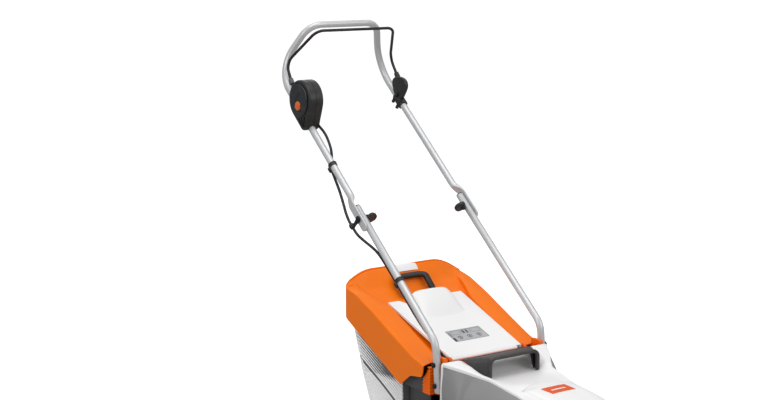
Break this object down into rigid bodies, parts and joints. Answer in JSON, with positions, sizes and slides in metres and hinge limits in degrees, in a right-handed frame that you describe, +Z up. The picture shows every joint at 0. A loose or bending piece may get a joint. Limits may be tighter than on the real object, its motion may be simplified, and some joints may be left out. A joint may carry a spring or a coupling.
{
  "type": "walk-behind lawn mower",
  "caption": "Battery walk-behind lawn mower with a folding U-shaped handle, bail lever, orange deck under a white hood, lifting discharge flap and rigid orange-lidded grass box.",
  "frame": {"origin": "on the ground, under the middle of the machine's length and width", "axes": "+Z up, -Y towards the front of the mower, -X towards the user's right hand (switch box side)"},
  "size_m": [0.396, 1.1921, 1.0822],
  "materials": {
    "orange_plastic": "satin moulded orange plastic, fine spark-eroded grain",
    "white_plastic": "satin white moulded plastic",
    "grey_plastic": "fine-grained grey moulded plastic",
    "dark_plastic": "charcoal moulded plastic",
    "black_plastic": "black grained plastic",
    "tube_metal": "silver powder-coated tube",
    "steel": "zinc-plated steel",
    "blade_steel": "dark hardened steel, ground cutting edges",
    "tyre_rubber": "black moulded tyre",
    "cable_sheath": "black cable sheath"
  },
  "bodies": {
    "chassis": {"deck_housing": "orange_plastic", "hood_cover": "white_plastic", "side_panel_left": "grey_plastic", "side_panel_right": "grey_plastic", "carry_handle": "black_plastic", "battery_bay": "dark_plastic", "control_unit": "dark_plastic", "motor_housing": "dark_plastic", "lid_pin": "steel", "flap_hinge_rod": "steel", "flap_spring": "steel", "lower_handle_left": "tube_metal", "lower_handle_right": "tube_metal", "pivot_bolt_left": "black_plastic", "pivot_bolt_right": "black_plastic", "cable_lower": "cable_sheath", "cable_clip_lower": "black_plastic", "cable_guide": "black_plastic", "foot_bolt_lower_left": "steel", "foot_bolt_lower_right": "steel", "foot_bolt_upper_left": "steel", "foot_bolt_upper_right": "steel"},
    "upper_handle": {"upper_handle": "tube_metal", "switch_housing": "black_plastic", "switch_cover": "black_plastic", "switch_unit": "dark_plastic", "bail_bearing": "black_plastic", "cable_upper": "cable_sheath", "cable_clip_upper": "black_plastic"},
    "bail": {"bail_lever": "black_plastic"},
    "start_button": {"start_button": "orange_plastic"},
    "knob_left": {"wing_knob_left": "black_plastic"},
    "knob_right": {"wing_knob_right": "black_plastic"},
    "flap": {"discharge_flap": "white_plastic"},
    "battery_lid": {"battery_lid": "white_plastic"},
    "battery": {"battery_pack": "black_plastic"},
    "rotor": {"motor_rotor": "steel", "blade_carrier": "dark_plastic", "blade": "blade_steel", "blade_bolt": "steel"},
    "rear_axle": {"rear_axle": "steel", "rear_height_lever": "black_plastic"},
    "front_axle": {"front_axle": "steel", "front_height_lever": "black_plastic"},
    "grass_box": {"box_lid": "orange_plastic", "box_body": "white_plastic", "box_front_frame": "dark_plastic", "box_handle": "black_plastic"},
    "level_flap": {"level_flap": "white_plastic"},
    "front_wheel_left": {"front_tyre_left": "tyre_rubber", "front_wheel_left": "white_plastic"},
    "front_wheel_right": {"front_tyre_right": "tyre_rubber", "front_wheel_right": "white_plastic"},
    "rear_wheel_left": {"rear_tyre_left": "tyre_rubber", "rear_wheel_left": "white_plastic"},
    "rear_wheel_right": {"rear_tyre_right": "tyre_rubber", "rear_wheel_right": "white_plastic"}
  },
  "joints": [
    {"name": "handle_fold", "type": "hinge", "parent": "chassis", "child": "upper_handle", "pos_m": [0, 0.191, 0.592], "axis": [1, 0, 0], "range_deg": [0, 150]},
    {"name": "bail_swing", "type": "hinge", "parent": "upper_handle", "child": "bail", "pos_m": [0, 0.52, 0.908], "axis": [-1, 0, 0], "range_deg": [0, 13], "stiffness_Nm_per_rad": 0.3, "springref_deg": -17.19},
    {"name": "start_button_press", "type": "slide", "parent": "upper_handle", "child": "start_button", "axis": [1, 0, 0], "range_m": [0, 0.003], "stiffness_N_per_m": 300, "springref_m": -0.002},
    {"name": "knob_turn_left", "type": "hinge", "parent": "chassis", "child": "knob_left", "pos_m": [0.15, 0.191, 0.592], "axis": [1, 0, 0], "continuous": true},
    {"name": "knob_turn_right", "type": "hinge", "parent": "chassis", "child": "knob_right", "pos_m": [-0.15, 0.191, 0.592], "axis": [1, 0, 0], "continuous": true},
    {"name": "flap_lift", "type": "hinge", "parent": "chassis", "child": "flap", "pos_m": [0, -0.113, 0.2765], "axis": [1, 0, 0], "range_deg": [0, 60], "stiffness_Nm_per_rad": 0.2, "springref_deg": -17.19},
    {"name": "battery_lid_lift", "type": "hinge", "parent": "chassis", "child": "battery_lid", "pos_m": [0, -0.502, 0.2304], "axis": [1, 0, 0], "range_deg": [0, 75]},
    {"name": "battery_eject", "type": "slide", "parent": "chassis", "child": "battery", "axis": [0, 0, 1], "range_m": [0, 0.012]},
    {"name": "blade_spin", "type": "hinge", "parent": "chassis", "child": "rotor", "pos_m": [0, -0.355, 0.1], "axis": [0, 0, 1], "continuous": true},
    {"name": "rear_height", "type": "hinge", "parent": "chassis", "child": "rear_axle", "pos_m": [0, -0.15468, 0.06966], "axis": [-1, 0, 0], "range_deg": [0, 48]},
    {"name": "front_height", "type": "hinge", "parent": "chassis", "child": "front_axle", "pos_m": [0, -0.56968, 0.04966], "axis": [-1, 0, 0], "range_deg": [0, 48]},
    {"name": "box_lift_off", "type": "slide", "parent": "chassis", "child": "grass_box", "axis": [0, 0.9397, 0.342], "range_m": [0, 0.45]},
    {"name": "level_flap_lift", "type": "hinge", "parent": "grass_box", "child": "level_flap", "pos_m": [0, 0.236, 0.4252], "axis": [1, 0, 0], "range_deg": [0, 50]},
    {"name": "rear_wheel_roll_left", "type": "hinge", "parent": "rear_axle", "child": "rear_wheel_left", "pos_m": [0.18, -0.109, 0.09], "axis": [1, 0, 0], "continuous": true},
    {"name": "rear_wheel_roll_right", "type": "hinge", "parent": "rear_axle", "child": "rear_wheel_right", "pos_m": [-0.18, -0.109, 0.09], "axis": [1, 0, 0], "continuous": true},
    {"name": "front_wheel_roll_left", "type": "hinge", "parent": "front_axle", "child": "front_wheel_left", "pos_m": [0.174, -0.524, 0.07], "axis": [1, 0, 0], "continuous": true},
    {"name": "front_wheel_roll_right", "type": "hinge", "parent": "front_axle", "child": "front_wheel_right", "pos_m": [-0.174, -0.524, 0.07], "axis": [1, 0, 0], "continuous": true}
  ]
}
